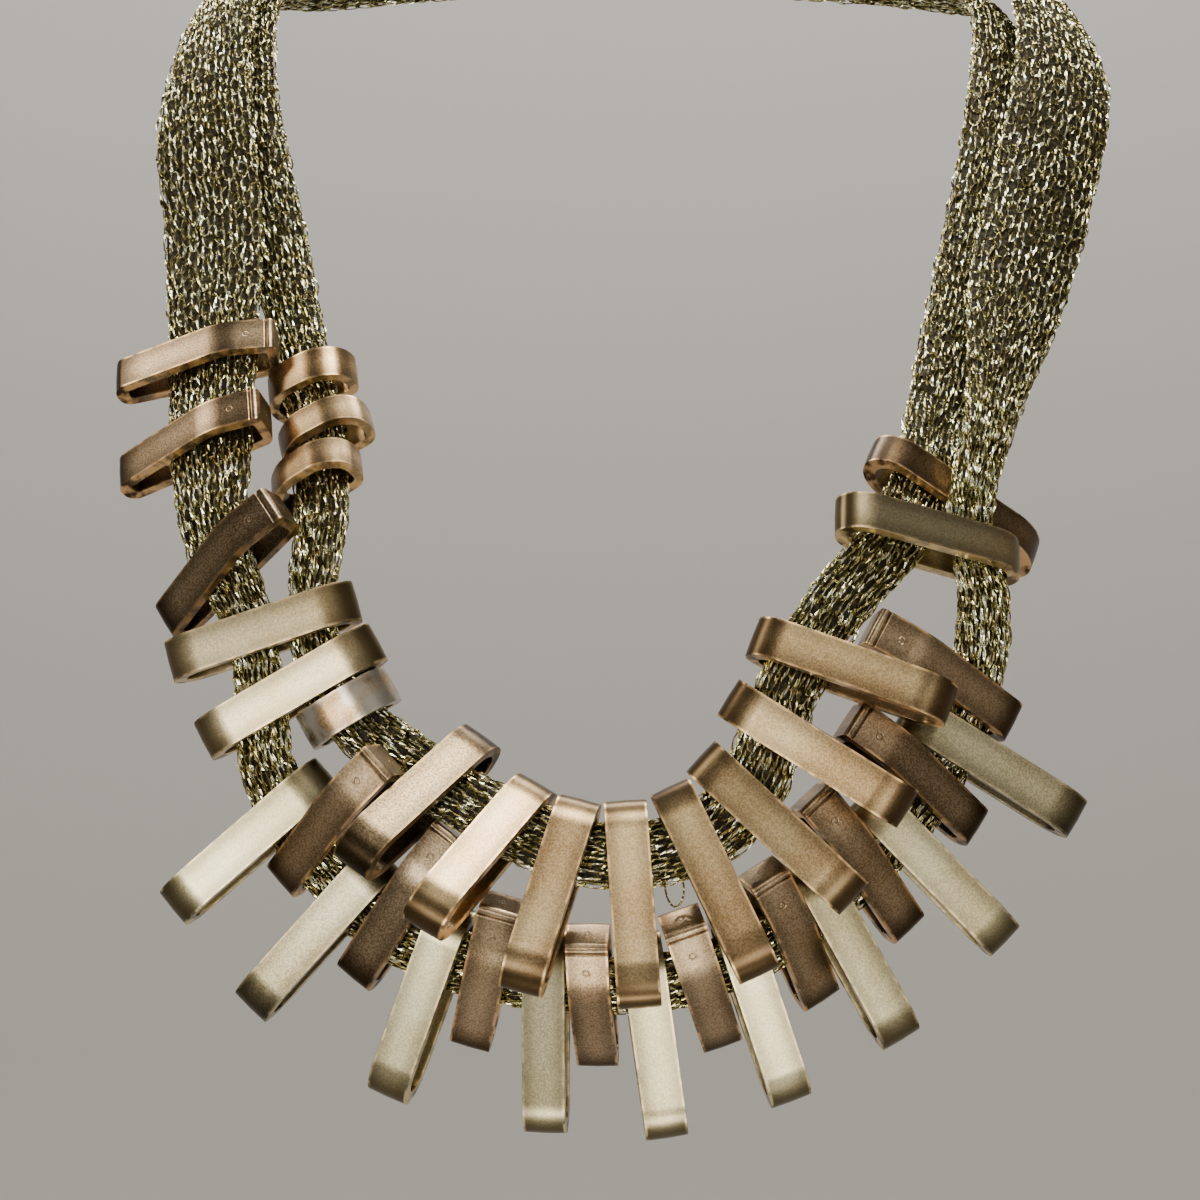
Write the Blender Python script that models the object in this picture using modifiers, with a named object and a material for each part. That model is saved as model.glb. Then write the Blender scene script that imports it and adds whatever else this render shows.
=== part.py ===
"""Bib necklace in its worn form: two knitted metal-yarn tubes that carry thirty-seven cast links.

Origin: the nape seat, where the clasp lies on the back of the neck. +Z is up, -Y is the chest side.
"""
import math
from collections import namedtuple

import bmesh
import bpy
import numpy as np
from mathutils import Matrix, Vector

MM = 0.001

# Band that every link is cast from
WALL = 1.9 * MM
END_WALL = 2.7 * MM
LONG_BAND = 8.2 * MM
WEDGE_BAND = 8.0 * MM
SHORT_BAND = 7.4 * MM

# Long link: flat sides and elliptical ends
LONG_LENGTH = 40.5 * MM
LONG_DEPTH = 10.0 * MM
LONG_ROUND = 7.6 * MM

# Wedge link: flat cap, short face, long face, narrow end and straight back leg
WEDGE_LENGTH = 35.0 * MM
WEDGE_CAP = 8.6 * MM
WEDGE_CAP_RISE = 1.2 * MM
WEDGE_SHORT_FACE = 11.0 * MM
WEDGE_DEPTH = 10.8 * MM
WEDGE_NARROW = 5.6 * MM
WEDGE_FILLETS = (1.6 * MM, 1.0 * MM, 10.0 * MM, 2.7 * MM, 2.7 * MM)
WEDGE_INNER_FILLETS = (0.6 * MM, 0.6 * MM, 8.0 * MM, 0.6 * MM, 0.6 * MM)

# Short link: a small D
SHORT_LENGTH = 20.0 * MM
SHORT_DEPTH = 11.0 * MM
SHORT_FLANK = 7.0 * MM
SHORT_BOW = 5.0 * MM
SHORT_FILLETS = (2.0 * MM, 3.0 * MM, 5.0 * MM, 5.0 * MM, 3.0 * MM, 2.0 * MM)
SHORT_INNER_FILLETS = (0.8 * MM, 1.4 * MM, 3.0 * MM, 3.0 * MM, 1.4 * MM, 0.8 * MM)

# Knitted tubes, pressed flat
TUBE_WIDTH = 15.0 * MM
TUBE_THICKNESS = 3.0 * MM
TUBE_SIDES = 12
TUBE_STEP = 6.0 * MM
HANG_GAP = 0.5 * MM

# Clasp at the nape
CLASP_LENGTH = 24.0 * MM
CLASP_HEIGHT = 15.0 * MM
CLASP_DEPTH = 10.0 * MM
CLASP_EDGE = 1.5 * MM
SEAT_GAP = 0.3 * MM
INNER_SEAT = 2.6 * MM
OUTER_SEAT = 7.4 * MM

# Fineness of arcs and of the tubes' smooth routes
ARC_STEPS = 4
SPLINE_STEPS = 12

Stop = namedtuple("Stop", "x y z face rise wide thick")
Link = namedtuple("Link", "name kind tube along clock lift roll ride set")
Kind = namedtuple("Kind", "outer inner band eye opening")
Section = namedtuple("Section", "place tangent front across half_width half_thickness")
Finish = namedtuple("Finish", "colour roughness metallic")

# Route of each tube, left end to right end: place in mm, the way its flat face looks
# (face: degrees round from the chest side, + to the right; rise: degrees up), and its
# width and thickness as shares of TUBE_WIDTH and TUBE_THICKNESS
INNER_ROUTE = [
    Stop(-12, 0, 0, -180, 10, 0.80, 1.10),
    Stop(-42, -2, -3, -158, 25, 0.90, 1.15),
    Stop(-72, -20, -11, -130, 48, 1.00, 1.20),
    Stop(-88, -46, -21, -85, 62, 1.05, 1.25),
    Stop(-88, -76, -50, -35, 48, 1.05, 1.25),
    Stop(-78, -99, -87, -27, 38, 0.95, 1.10),
    Stop(-70, -119, -115, -24, 36, 0.78, 1.00),
    Stop(-65, -134, -133, -24, 36, 0.80, 1.00),
    Stop(-63, -148, -149, -24, 24, 0.80, 1.05),
    Stop(-64, -154, -166, -24, 8, 0.70, 1.00),
    Stop(-61, -157, -181, -22, 10, 0.74, 0.95),
    Stop(-50, -159, -193, -18, 22, 0.82, 0.90),
    Stop(-32, -167, -204, -10, 34, 0.86, 0.95),
    Stop(-11, -172, -213, -4, 22, 0.88, 1.00),
    Stop(8, -173, -212, 4, 20, 0.88, 1.00),
    Stop(21, -171, -202, 9, 18, 0.88, 1.00),
    Stop(29, -167, -182, 12, 14, 0.82, 1.00),
    Stop(39, -161, -166, 16, 12, 0.84, 1.00),
    Stop(50, -154, -154, 20, 18, 0.86, 0.85),
    Stop(58, -141, -141, 22, 32, 0.86, 0.80),
    Stop(64, -123, -123, 24, 38, 0.92, 0.85),
    Stop(74, -97, -91, 27, 38, 1.00, 1.10),
    Stop(84, -73, -53, 35, 48, 1.05, 1.25),
    Stop(87, -45, -24, 85, 62, 1.05, 1.25),
    Stop(72, -20, -11, 130, 48, 1.00, 1.20),
    Stop(42, -2, -3, 158, 25, 0.90, 1.15),
    Stop(12, 0, 0, 180, 10, 0.80, 1.10),
]
OUTER_ROUTE = [
    Stop(-12, 0, 0, -180, 10, 0.80, 1.10),
    Stop(-44, 3.5, -1, -158, 25, 0.95, 1.15),
    Stop(-77, -17, -6, -130, 48, 1.20, 1.20),
    Stop(-94, -46, -16, -85, 62, 1.40, 1.25),
    Stop(-97, -79, -50, -35, 48, 1.55, 1.25),
    Stop(-92, -99, -84, -30, 36, 1.65, 1.20),
    Stop(-89, -119, -112, -28, 40, 1.40, 1.05),
    Stop(-87, -135, -134, -28, 38, 1.25, 1.05),
    Stop(-84, -146, -153, -28, 22, 1.00, 1.05),
    Stop(-77, -152, -170, -26, 10, 0.74, 1.00),
    Stop(-74, -154, -185, -26, 6, 0.76, 1.00),
    Stop(-72, -156, -200, -24, 2, 0.84, 0.90),
    Stop(-61, -160, -217, -22, -4, 0.82, 0.90),
    Stop(-46, -163, -230, -17, -8, 0.84, 0.95),
    Stop(-26, -167, -237, -10, -16, 0.82, 0.95),
    Stop(-4, -169, -239, -2, -20, 0.82, 0.95),
    Stop(17, -168, -235, 7, -18, 0.82, 0.95),
    Stop(37, -164, -223, 14, -12, 0.82, 0.95),
    Stop(56, -160, -203, 20, -6, 0.84, 0.95),
    Stop(66, -156, -183, 24, 0, 0.84, 1.00),
    Stop(69, -152, -166, 25, 8, 0.82, 0.90),
    Stop(67, -147, -148, 25, 26, 0.66, 0.80),
    Stop(73, -135, -127, 26, 38, 0.78, 0.85),
    Stop(82, -112, -99, 28, 38, 1.50, 1.15),
    Stop(92, -92, -70, 30, 40, 1.65, 1.20),
    Stop(99, -73, -42, 38, 50, 1.60, 1.25),
    Stop(95, -43, -15, 85, 62, 1.40, 1.25),
    Stop(77, -17, -6, 130, 48, 1.20, 1.20),
    Stop(44, 3.5, -1, 158, 25, 0.95, 1.15),
    Stop(12, 0, 0, 180, 10, 0.80, 1.10),
]

# Links, each hung by its upper inner end over a tube: along is the share of the half tube
# from its middle, clock is where the free end points (degrees from straight down, + to the
# right), lift is how far it stands off the chest, roll turns the link about its own length,
# ride is how far it sits up its own length, as a share of the tube's free way in the opening,
# and set how far forward, in mm
LINKS = [
    Link("upper_link_1", "long", "inner", -0.0955, -48, 36.5, -6, 0.245, -0.2),
    Link("upper_link_2", "long", "inner", -0.05, -42, 38.5, 0.5, 0.051, 0.3),
    Link("upper_link_3", "long", "inner", -0.017, -18.5, 29.5, -0.5, 0.014, 0.8),
    Link("upper_link_4", "long", "inner", 0.016, 4, 25, -2, 0.043, 1),
    Link("upper_link_5", "long", "inner", 0.0515, 26, 23, 1.5, 0.086, 0.8),
    Link("upper_link_6", "long", "inner", 0.0865, 47.5, 20, 5.5, 0.112, 0.1),
    Link("upper_link_7", "long", "inner", 0.1275, 58, 10, 9, 0.063, 0),
    Link("upper_link_8", "long", "inner", 0.169, 70.5, 9.5, 3.5, 0.08, 0),
    Link("lower_link_1", "long", "outer", -0.1855, -49, 0, -3, 0.09, 0.1),
    Link("lower_link_2", "long", "outer", -0.134, -42, -6, 0, 0.05, -0.4),
    Link("lower_link_3", "long", "outer", -0.083, -20, -6, 1.5, 0.051, -0.4),
    Link("lower_link_4", "long", "outer", -0.031, 0, -9, -1.5, 0.05, -0.4),
    Link("lower_link_5", "long", "outer", 0.0155, 8, -6.5, -1.5, 0.036, 0),
    Link("lower_link_6", "long", "outer", 0.063, 18.5, -8.5, 3.5, 0.036, -0.3),
    Link("lower_link_7", "long", "outer", 0.1095, 29, -3.5, 1.5, 0.036, 0.6),
    Link("lower_link_8", "long", "outer", 0.1575, 44.5, -4.5, 3, 0.023, 0.4),
    Link("lower_link_9", "long", "outer", 0.208, 58, -1.5, 1, 0.113, 0),
    Link("wedge_link_1", "wedge", "outer", -0.4385, -79, -6, 0, 0.09, -0.3),
    Link("wedge_link_2", "wedge", "outer", -0.3865, -69, -16.5, -0.5, 0.048, -0.4),
    Link("wedge_link_3", "wedge", "outer", -0.311, -47, -16.5, 0, 0.475, 0),
    Link("wedge_link_4", "wedge", "outer", -0.1635, -41.5, -20, 1, 0.975, 0.8),
    Link("wedge_link_5", "wedge", "outer", -0.1105, -35.5, -7.5, 4.5, 0.813, 0.1),
    Link("wedge_link_6", "wedge", "outer", -0.059, -13.5, -28, -4, 0.434, -0.1),
    Link("wedge_link_7", "wedge", "outer", -0.0095, 4, -36, 0, 0.273, -0.3),
    Link("wedge_link_8", "wedge", "outer", 0.041, 18, -35, 0.5, 0.353, -0.1),
    Link("wedge_link_9", "wedge", "outer", 0.088, 25.5, -31, 1, 0.39, -0.1),
    Link("wedge_link_10", "wedge", "outer", 0.134, 37.5, -16, -4.5, 0.551, -0.3),
    Link("wedge_link_11", "wedge", "outer", 0.1835, 50.5, -14.5, -7, 0.748, 0),
    Link("wedge_link_12", "wedge", "outer", 0.2325, 57.5, -10.5, -2, 0.921, 0.2),
    Link("cross_link_1", "long", "outer", -0.272, -71.5, -10, -0.5, 0.611, 0.1),
    Link("cross_link_2", "long", "outer", -0.237, -60, -6.5, -2, 0.772, 0),
    Link("cross_link_3", "long", "inner", 0.2595, 75.5, -17.5, 1, 0.212, 1.3),
    Link("shoulder_link_1", "long", "inner", 0.3075, 56.5, -6.5, 0.5, 0.108, -1.3),
    Link("short_link_1", "short", "inner", -0.3795, -66, -22, -4, 0.647, 0.4),
    Link("short_link_2", "short", "inner", -0.3375, -62.5, -8.5, 2.5, 0.87, 0),
    Link("short_link_3", "short", "inner", -0.3055, -59, -18, 0, 0.029, 0.8),
    Link("short_link_4", "short", "inner", -0.162, -59, -10, 4, 0.548, 0),
]

FINISHES = {
    "long": Finish((0.55, 0.40, 0.27, 1.0), 0.38, 1.0),
    "wedge": Finish((0.50, 0.34, 0.23, 1.0), 0.40, 1.0),
    "short": Finish((0.52, 0.37, 0.26, 1.0), 0.40, 1.0),
    "tube": Finish((0.33, 0.30, 0.15, 1.0), 0.55, 0.6),
    "clasp": Finish((0.60, 0.50, 0.32, 1.0), 0.35, 1.0),
}


def fillet(corner, before, after, radius):
    """Arc of the given radius that rounds one corner of an outline."""
    into = (before - corner).normalized()
    out = (after - corner).normalized()
    half = into.angle(out) / 2
    centre = corner + (into + out).normalized() * (radius / math.sin(half))
    start = corner + into * (radius / math.tan(half)) - centre
    end = corner + out * (radius / math.tan(half)) - centre
    sweep = math.atan2(start.x * end.y - start.y * end.x, start.dot(end))
    return [centre + Matrix.Rotation(sweep * k / ARC_STEPS, 2) @ start for k in range(ARC_STEPS + 1)]


def rounded_outline(corners, radii):
    """Closed outline through the corners, each rounded by its own radius."""
    points = []
    for i, corner in enumerate(corners):
        following = corners[(i + 1) % len(corners)]
        points += fillet(corner, corners[i - 1], following, radii[i])
    return points


def inset_corners(corners, walls):
    """Corners of the opening: side i, from corner i to the next, moves in by its own wall."""
    moved = []
    for i, corner in enumerate(corners):
        before = (corner - corners[i - 1]).normalized()
        after = (corners[(i + 1) % len(corners)] - corner).normalized()
        sine = before.cross(after)
        moved.append(corner + (before * walls[i] - after * walls[i - 1]) / sine)
    return moved


def oval_outline(half_length, half_depth, end_run):
    """Flat sides joined by half ellipses, as the long link has."""
    points = []
    for side in (1, -1):
        for step in range(-ARC_STEPS, ARC_STEPS + 1):
            turn = math.pi / 2 * step / ARC_STEPS
            along = half_length - end_run + end_run * math.cos(turn)
            points.append(Vector((side * along, side * half_depth * math.sin(turn))))
    return points


def long_kind():
    """Long link: flat sides and elliptical ends."""
    half = LONG_LENGTH / 2
    outer = oval_outline(half, LONG_DEPTH / 2, LONG_ROUND)
    inner = oval_outline(half - END_WALL, LONG_DEPTH / 2 - WALL, LONG_ROUND - END_WALL)
    return Kind(outer, inner, LONG_BAND, Vector((END_WALL - half, 0)), LONG_LENGTH - 2 * END_WALL)


def wedge_kind():
    """Wedge link: cap, short face, long face, narrow end and back leg, round from the back."""
    bend = WEDGE_SHORT_FACE - WEDGE_CAP_RISE
    sides = ((0, 0), (-WEDGE_CAP_RISE, WEDGE_CAP), (bend, WEDGE_DEPTH),
             (WEDGE_LENGTH, WEDGE_NARROW), (WEDGE_LENGTH, 0))
    corners = [Vector(side) for side in sides]
    opening = inset_corners(corners, (WALL, WALL, WALL, END_WALL, WALL))
    outer = rounded_outline(corners, WEDGE_FILLETS)
    inner = rounded_outline(opening, WEDGE_INNER_FILLETS)
    return Kind(outer, inner, WEDGE_BAND, Vector((WALL, WEDGE_CAP / 2)), WEDGE_LENGTH - WALL - END_WALL)


def short_kind():
    """Short link: a D with its bow to the front."""
    sides = ((0, 0), (0, SHORT_FLANK), (SHORT_BOW, SHORT_DEPTH), (SHORT_LENGTH - SHORT_BOW, SHORT_DEPTH),
             (SHORT_LENGTH, SHORT_FLANK), (SHORT_LENGTH, 0))
    corners = [Vector(side) for side in sides]
    opening = inset_corners(corners, (WALL,) * len(corners))
    outer = rounded_outline(corners, SHORT_FILLETS)
    inner = rounded_outline(opening, SHORT_INNER_FILLETS)
    return Kind(outer, inner, SHORT_BAND, Vector((WALL, SHORT_DEPTH / 2)), SHORT_LENGTH - 2 * WALL)


def link_curve(name, kind):
    """Flat curve of a link: its outline and its opening, as thick as the band is wide."""
    curve = bpy.data.curves.new(name, "CURVE")
    curve.dimensions = "2D"
    curve.fill_mode = "BOTH"
    curve.extrude = kind.band / 2
    for outline in (kind.outer, kind.inner):
        spline = curve.splines.new("POLY")
        spline.points.add(len(outline) - 1)
        for point, place in zip(spline.points, outline):
            point.co = (place.x, place.y, 0, 1)
        spline.use_cyclic_u = True
    return curve


def smooth_rows(stops):
    """Rows close together along a Catmull-Rom curve through the stops."""
    rows = np.array(stops, dtype=float)
    rows[:, :3] *= MM
    padded = np.vstack([2 * rows[0] - rows[1], rows, 2 * rows[-1] - rows[-2]])
    fine = []
    for a, b, c, d in zip(padded, padded[1:], padded[2:], padded[3:]):
        for t in np.arange(0, 1, 1 / SPLINE_STEPS):
            fine.append(0.5 * (2 * b + (c - a) * t + (2 * a - 5 * b + 4 * c - d) * t ** 2
                               + (3 * b - a - 3 * c + d) * t ** 3))
    fine.append(rows[-1])
    return np.array(fine)


class Tube:
    """Route of a knitted tube, read by the length along it."""

    def __init__(self, stops):
        self.rows = smooth_rows(stops)
        steps = np.linalg.norm(np.diff(self.rows[:, :3], axis=0), axis=1)
        self.reach = np.concatenate([[0], np.cumsum(steps)])
        self.length = self.reach[-1]

    def row(self, length):
        return [float(np.interp(length, self.reach, column)) for column in self.rows.T]

    def section(self, length):
        """Cross section at a length from the left end."""
        x, y, z, face, rise, wide, thick = self.row(length)
        before = Vector(self.row(length - TUBE_STEP / 2)[:3])
        after = Vector(self.row(length + TUBE_STEP / 2)[:3])
        tangent = (after - before).normalized()
        if length <= 0 or length >= self.length:
            tangent = Vector((-1, 0, 0))
        turn = math.radians(face)
        tip = math.radians(rise)
        looks = Vector((math.sin(turn) * math.cos(tip), -math.cos(turn) * math.cos(tip), math.sin(tip)))
        front = (looks - tangent * looks.dot(tangent)).normalized()
        across = tangent.cross(front)
        return Section(Vector((x, y, z)), tangent, front, across, wide * TUBE_WIDTH / 2,
                       thick * TUBE_THICKNESS / 2)

    def at_share(self, share):
        """Cross section at a share of the half tube from its middle."""
        return self.section(self.length / 2 * (1 + share))


def tube_mesh(name, tube):
    """Closed loft of flat oval sections along the tube."""
    bm = bmesh.new()
    count = round(tube.length / TUBE_STEP)
    rings = []
    for k in range(count + 1):
        section = tube.section(tube.length * k / count)
        ring = []
        for side in range(TUBE_SIDES):
            turn = 2 * math.pi * side / TUBE_SIDES
            place = section.place + section.across * (section.half_width * math.cos(turn))
            place += section.front * (section.half_thickness * math.sin(turn))
            ring.append(bm.verts.new(place))
        rings.append(ring)
    for ring, following in zip(rings, rings[1:]):
        for side in range(TUBE_SIDES):
            near = (side + 1) % TUBE_SIDES
            bm.faces.new((ring[side], ring[near], following[near], following[side]))
    bm.faces.new(rings[0])
    bm.faces.new(rings[-1])
    bmesh.ops.recalc_face_normals(bm, faces=bm.faces)
    mesh = bpy.data.meshes.new(name)
    bm.to_mesh(mesh)
    bm.free()
    mesh.shade_smooth()
    return mesh


def hung(link, kind, tube):
    """Where a link lies: its eye over the tube, its free end where clock and lift point."""
    section = tube.at_share(link.along)
    clock = math.radians(link.clock)
    lift = math.radians(link.lift)
    down = Vector((math.sin(clock) * math.cos(lift), -math.sin(lift), -math.cos(clock) * math.cos(lift)))
    band_axis = (section.tangent - down * section.tangent.dot(down)).normalized()
    band_axis.rotate(Matrix.Rotation(math.radians(link.roll), 3, down))
    front = down.cross(band_axis)
    reach = math.hypot(section.half_width * section.across.dot(down),
                       section.half_thickness * section.front.dot(down)) + HANG_GAP
    up = reach + link.ride * (kind.opening - 2 * reach)
    eye = down * kind.eye.x + front * kind.eye.y
    origin = section.place - down * up + front * (link.set * MM) - eye
    turned = Matrix((down, front, down.cross(front))).transposed().to_4x4()
    return Matrix.Translation(origin) @ turned


def material(name):
    """Principled material of one kind of piece."""
    finish = FINISHES[name]
    made = bpy.data.materials.new(name)
    made.use_nodes = True
    shader = made.node_tree.nodes["Principled BSDF"]
    shader.inputs["Base Color"].default_value = finish.colour
    shader.inputs["Roughness"].default_value = finish.roughness
    shader.inputs["Metallic"].default_value = finish.metallic
    made.diffuse_color = finish.colour
    return made


def add_links(collection, tubes):
    kinds = {"long": long_kind(), "wedge": wedge_kind(), "short": short_kind()}
    curves = {}
    for name, kind in kinds.items():
        curves[name] = link_curve(name + "_link", kind)
        curves[name].materials.append(material(name))
    for link in LINKS:
        piece = bpy.data.objects.new(link.name, curves[link.kind])
        piece.matrix_world = hung(link, kinds[link.kind], tubes[link.tube])
        collection.objects.link(piece)


def add_tubes(collection, tubes):
    knit = material("tube")
    for name, tube in tubes.items():
        mesh = tube_mesh(name + "_tube", tube)
        mesh.materials.append(knit)
        collection.objects.link(bpy.data.objects.new(name + "_tube", mesh))


def add_clasp(collection):
    """Plain block at the nape: its inner face is the seat, and the tubes end at its two ends."""
    bpy.ops.mesh.primitive_cube_add(size=1, location=(0, CLASP_DEPTH / 2, 0))
    clasp = bpy.context.object
    clasp.name = "clasp"
    clasp.dimensions = (CLASP_LENGTH, CLASP_DEPTH, CLASP_HEIGHT)
    bpy.ops.object.transform_apply(location=False, rotation=False, scale=True)
    bevel = clasp.modifiers.new("edges", "BEVEL")
    bevel.width = CLASP_EDGE
    bevel.segments = 2
    clasp.data.materials.append(material("clasp"))
    for holder in clasp.users_collection:
        holder.objects.unlink(clasp)
    collection.objects.link(clasp)


def seated(stops, depth):
    """Route whose two ends meet the flat ends of the clasp, at a depth inside its thickness."""
    reach = CLASP_LENGTH / 2 + SEAT_GAP
    first = stops[0]._replace(x=-reach / MM, y=depth / MM, z=0)
    last = stops[-1]._replace(x=reach / MM, y=depth / MM, z=0)
    return [first, *stops[1:-1], last]


def build():
    for item in list(bpy.data.objects):
        bpy.data.objects.remove(item, do_unlink=True)
    collection = bpy.data.collections.new("bib_necklace")
    bpy.context.scene.collection.children.link(collection)
    tubes = {
        "inner": Tube(seated(INNER_ROUTE, INNER_SEAT)),
        "outer": Tube(seated(OUTER_ROUTE, OUTER_SEAT)),
    }
    add_clasp(collection)
    add_tubes(collection, tubes)
    add_links(collection, tubes)


build()
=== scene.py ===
"""Looks of the bib necklace: cast links with a satin coat on two knitted metal-yarn tubes."""
import math
from collections import namedtuple

import bpy
import numpy as np
from mathutils import Matrix, Vector


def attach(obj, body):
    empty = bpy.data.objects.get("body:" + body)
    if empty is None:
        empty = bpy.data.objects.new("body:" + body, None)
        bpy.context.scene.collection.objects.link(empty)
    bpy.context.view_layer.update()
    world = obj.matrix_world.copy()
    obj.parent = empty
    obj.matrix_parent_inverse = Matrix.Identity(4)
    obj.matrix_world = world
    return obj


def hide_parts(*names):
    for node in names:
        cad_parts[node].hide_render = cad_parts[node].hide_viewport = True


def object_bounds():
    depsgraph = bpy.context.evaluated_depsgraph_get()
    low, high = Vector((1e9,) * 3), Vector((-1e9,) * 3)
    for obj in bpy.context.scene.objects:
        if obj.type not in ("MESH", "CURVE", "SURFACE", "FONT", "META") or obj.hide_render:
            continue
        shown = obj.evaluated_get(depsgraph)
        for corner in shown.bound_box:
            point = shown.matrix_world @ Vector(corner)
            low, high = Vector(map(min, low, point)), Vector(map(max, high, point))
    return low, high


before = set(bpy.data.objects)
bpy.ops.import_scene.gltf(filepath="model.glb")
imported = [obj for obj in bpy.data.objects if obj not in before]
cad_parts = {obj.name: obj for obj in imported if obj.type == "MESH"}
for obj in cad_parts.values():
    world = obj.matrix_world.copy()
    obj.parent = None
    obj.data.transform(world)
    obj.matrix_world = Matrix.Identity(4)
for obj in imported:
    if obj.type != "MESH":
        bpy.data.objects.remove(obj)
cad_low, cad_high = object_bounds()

MM = 0.001

# Band that every link is cast from
WALL = 1.9 * MM
END_WALL = 2.7 * MM
LONG_BAND = 8.2 * MM
WEDGE_BAND = 8.0 * MM
SHORT_BAND = 7.4 * MM

# Long link: flat sides and elliptical ends
LONG_LENGTH = 40.5 * MM
LONG_DEPTH = 10.0 * MM
LONG_ROUND = 7.6 * MM

# Wedge link: flat cap, short face, long face, narrow end and straight back leg
WEDGE_LENGTH = 35.0 * MM
WEDGE_CAP = 8.6 * MM
WEDGE_CAP_RISE = 1.2 * MM
WEDGE_SHORT_FACE = 11.0 * MM
WEDGE_DEPTH = 10.8 * MM
WEDGE_NARROW = 5.6 * MM
WEDGE_FILLETS = (2.4 * MM, 1.2 * MM, 17.0 * MM, 2.7 * MM, 2.7 * MM)
WEDGE_INNER_FILLETS = (0.8 * MM, 0.6 * MM, 15.0 * MM, 0.6 * MM, 0.6 * MM)

# Short link: a small D
SHORT_LENGTH = 20.0 * MM
SHORT_DEPTH = 11.0 * MM
SHORT_FLANK = 7.0 * MM
SHORT_BOW = 5.0 * MM
SHORT_FILLETS = (3.0 * MM, 6.0 * MM, 9.0 * MM, 9.0 * MM, 6.0 * MM, 3.0 * MM)
SHORT_INNER_FILLETS = (1.0 * MM, 3.4 * MM, 6.5 * MM, 6.5 * MM, 3.4 * MM, 1.0 * MM)

# Casting details: rounded rims, the raised parting line and the seam below a wedge link's cap
RIM_ROUND = 0.55 * MM
PARTING_RISE = 0.10 * MM
SEAM_BELOW_CAP = 1.5 * MM
SEAM_WIDTH = 0.42 * MM
SEAM_DEPTH = 0.42 * MM

# Knitted tubes, pressed flat
TUBE_WIDTH = 15.0 * MM
TUBE_THICKNESS = 3.0 * MM
TUBE_STEP = 6.0 * MM
HANG_GAP = 0.5 * MM

# Clasp at the back of the loop
CLASP_LENGTH = 24.0 * MM
CLASP_HEIGHT = 15.0 * MM
CLASP_DEPTH = 10.0 * MM
CLASP_ROUND = 1.6 * MM
SEAT_GAP = 0.3 * MM
INNER_SEAT = 2.6 * MM
OUTER_SEAT = 7.4 * MM

# Stitches: wales round each tube, the height of a course, the form of a loop, the flat yarn that
# it is knitted from, and the inside of the tube, painted dark as its shade
INNER_WALES = 12
OUTER_WALES = 15
COURSE = 4.1 * MM
LOOP_REACH = 0.80
LOOP_SWAY = 0.16
LOOP_BULGE = 0.40 * MM
LOOP_STEPS = 15
STITCH_SINK = 0.25 * MM
STITCH_STRAY = 0.50 * MM
YARN_WIDE = 0.32 * MM
YARN_THICK = 0.17 * MM
YARN_TWIST = 0.9
CORE_SINK = 0.75 * MM
CORE_SIDES = 24
CORE_STEP = 2.5 * MM

# How unevenly the yarn is knitted: bends in its wander for each wale, how far a course may be
# turned as a share of a wale, and how much the yarn's twist speeds up and slows down
STRAY_KNOTS = 3
COURSE_TURN = 0.12
TWIST_BEAT = 0.37
TWIST_SWAY = 0.8

# Yarn loop that hangs out of the inner tube between two upper links: its places in mm, its
# points in all and its yarn's thickness as a share of YARN_WIDE
PULLED_LOOP = [(5.6, -172.0, -212.0), (5.3, -174.6, -215.5), (5.1, -175.2, -218.6), (5.5, -175.6, -221.2),
               (6.7, -175.8, -222.9), (8.1, -175.6, -222.2), (8.7, -175.0, -219.8), (8.2, -174.6, -217.4),
               (7.5, -174.2, -215.2), (6.8, -172.0, -212.0)]
PULLED_STEPS = 90
PULLED_THICK = 0.7

# How finely arcs, routes and sections are worked out, and how close a point counts as the same
# one or as lying on an outline
ARC_STEPS = 9
SPLINE_STEPS = 12
SAMPLE_STEP = 1.0 * MM
RIM_SAMPLES = 241
MERGE_GAP = 0.01 * MM
OUTLINE_GAP = 0.05 * MM

# A kind of link has an outer and an inner outline, the width of its band, the place of its eye,
# the length of its opening and the place of its end along it, towards which painted shade darkens it
Kind = namedtuple("Kind", "outer inner band eye opening end")
Stop = namedtuple("Stop", "x y z face rise wide thick")
Link = namedtuple("Link", "name kind tube along clock lift roll ride set")
Section = namedtuple("Section", "place tangent front across half_width half_thickness")
# A coat's rim is the tone of the painted highlight on its rims, and its shade is the tone of the painted
# shade at its ends and edges
Coat = namedtuple("Coat", "bright deep rim shade")
Light = namedtuple("Light", "name place aim size power colour")

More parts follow.
